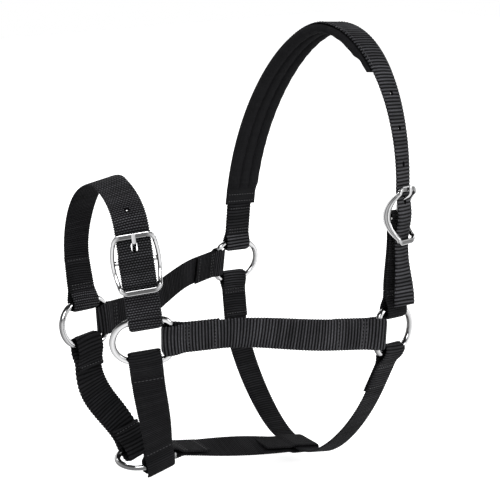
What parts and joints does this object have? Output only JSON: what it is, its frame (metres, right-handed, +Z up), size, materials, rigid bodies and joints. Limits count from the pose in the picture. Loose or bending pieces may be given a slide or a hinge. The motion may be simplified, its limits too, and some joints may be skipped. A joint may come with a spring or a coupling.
{
  "type": "horse headcollar",
  "caption": "Webbing headcollar for a horse, with a padded headpiece, square rings at its corners and buckles on the headpiece and the noseband.",
  "frame": {"origin": "under the middle of the headpiece, where it rests on the poll", "axes": "+Z up from the jaw to the poll, +X from the nose to the poll, +Y to the horse's right (far) side; the buckles are on the -Y (near) side"},
  "size_m": [0.2604, 0.2351, 0.3882],
  "materials": {
    "crown_strap": "woven",
    "crown_pad_cover": "woven",
    "crown_pad_foam": "woven",
    "crown_chape": "woven",
    "nose_strap": "woven",
    "nose_chape": "woven",
    "near_cheek_strap": "woven",
    "far_cheek_strap": "woven",
    "near_chin_strap": "woven",
    "far_chin_strap": "woven",
    "jaw_strap": "woven",
    "throat_strap": "woven",
    "crown_buckle": "polished",
    "crown_tongue": "polished",
    "nose_buckle": "polished",
    "nose_tongue": "polished",
    "near_nose_ring": "polished",
    "far_nose_ring": "polished",
    "near_cheek_ring": "polished",
    "far_cheek_ring": "polished",
    "chin_ring": "polished"
  },
  "bodies": {
    "harness": {"near_cheek_strap": "near_cheek_strap", "far_cheek_strap": "far_cheek_strap", "near_chin_strap": "near_chin_strap", "far_chin_strap": "far_chin_strap", "jaw_strap": "jaw_strap", "throat_strap": "throat_strap", "nose_chape": "nose_chape", "crown_chape": "crown_chape"},
    "near_nose_ring_body": {"near_nose_ring": "near_nose_ring"},
    "far_nose_ring_body": {"far_nose_ring": "far_nose_ring"},
    "near_cheek_ring_body": {"near_cheek_ring": "near_cheek_ring"},
    "far_cheek_ring_body": {"far_cheek_ring": "far_cheek_ring"},
    "chin_ring_body": {"chin_ring": "chin_ring"},
    "headpiece": {"crown_strap": "crown_strap", "crown_pad_cover": "crown_pad_cover", "crown_pad_foam": "crown_pad_foam"},
    "noseband": {"nose_strap": "nose_strap"},
    "crown_buckle_body": {"crown_buckle": "crown_buckle"},
    "crown_tongue_body": {"crown_tongue": "crown_tongue"},
    "nose_buckle_body": {"nose_buckle": "nose_buckle"},
    "nose_tongue_body": {"nose_tongue": "nose_tongue"}
  },
  "joints": [
    {"name": "near_nose_ring_rock", "type": "hinge", "parent": "harness", "child": "near_nose_ring_body", "pos_m": [-0.212, -0.037, -0.2097], "axis": [-0.4341, -0.89, -0.1392], "range_deg": [-2, 2]},
    {"name": "far_nose_ring_rock", "type": "hinge", "parent": "harness", "child": "far_nose_ring_body", "pos_m": [-0.2154, 0.049, -0.2207], "axis": [-0.2047, 0.9633, -0.1736], "range_deg": [-2, 2]},
    {"name": "near_cheek_ring_rock", "type": "hinge", "parent": "harness", "child": "near_cheek_ring_body", "pos_m": [-0.022, -0.102, -0.2267], "axis": [0.1732, -0.9824, 0.0698], "range_deg": [-3, 3]},
    {"name": "far_cheek_ring_rock", "type": "hinge", "parent": "harness", "child": "far_cheek_ring_body", "pos_m": [-0.022, 0.114, -0.2237], "axis": [0.0349, 0.998, 0.0523], "range_deg": [-3, 3]},
    {"name": "chin_ring_swing", "type": "hinge", "parent": "harness", "child": "chin_ring_body", "pos_m": [-0.171, 0.006, -0.3307], "axis": [0, 1, 0], "range_deg": [-2, 2]},
    {"name": "headpiece_swing", "type": "hinge", "parent": "harness", "child": "headpiece", "pos_m": [-0.01852, 0.11297, -0.20646], "axis": [-0.9957, 0.0302, 0.087], "range_deg": [0, 75], "deforming": ["crown_strap"]},
    {"name": "noseband_swing", "type": "hinge", "parent": "harness", "child": "noseband", "pos_m": [-0.21717, 0.05177, -0.20325], "axis": [-0.9766, -0.189, 0.1029], "range_deg": [0, 75], "deforming": ["nose_strap"]},
    {"name": "crown_buckle_rock", "type": "hinge", "parent": "harness", "child": "crown_buckle_body", "pos_m": [-0.00899, -0.08907, -0.1344], "axis": [-0.9182, -0.3618, 0.161], "range_deg": [-3, 3]},
    {"name": "nose_buckle_rock", "type": "hinge", "parent": "harness", "child": "nose_buckle_body", "pos_m": [-0.21783, -0.03327, -0.14614], "axis": [-0.8971, 0.4294, -0.1043], "range_deg": [-3, 3]},
    {"name": "crown_tongue_lift", "type": "hinge", "parent": "crown_buckle_body", "child": "crown_tongue_body", "pos_m": [-0.00899, -0.08907, -0.1344], "axis": [0.9182, 0.3618, -0.161], "range_deg": [0, 5]},
    {"name": "nose_tongue_lift", "type": "hinge", "parent": "nose_buckle_body", "child": "nose_tongue_body", "pos_m": [-0.21783, -0.03327, -0.14614], "axis": [0.8971, -0.4294, 0.1043], "range_deg": [0, 5]}
  ]
}
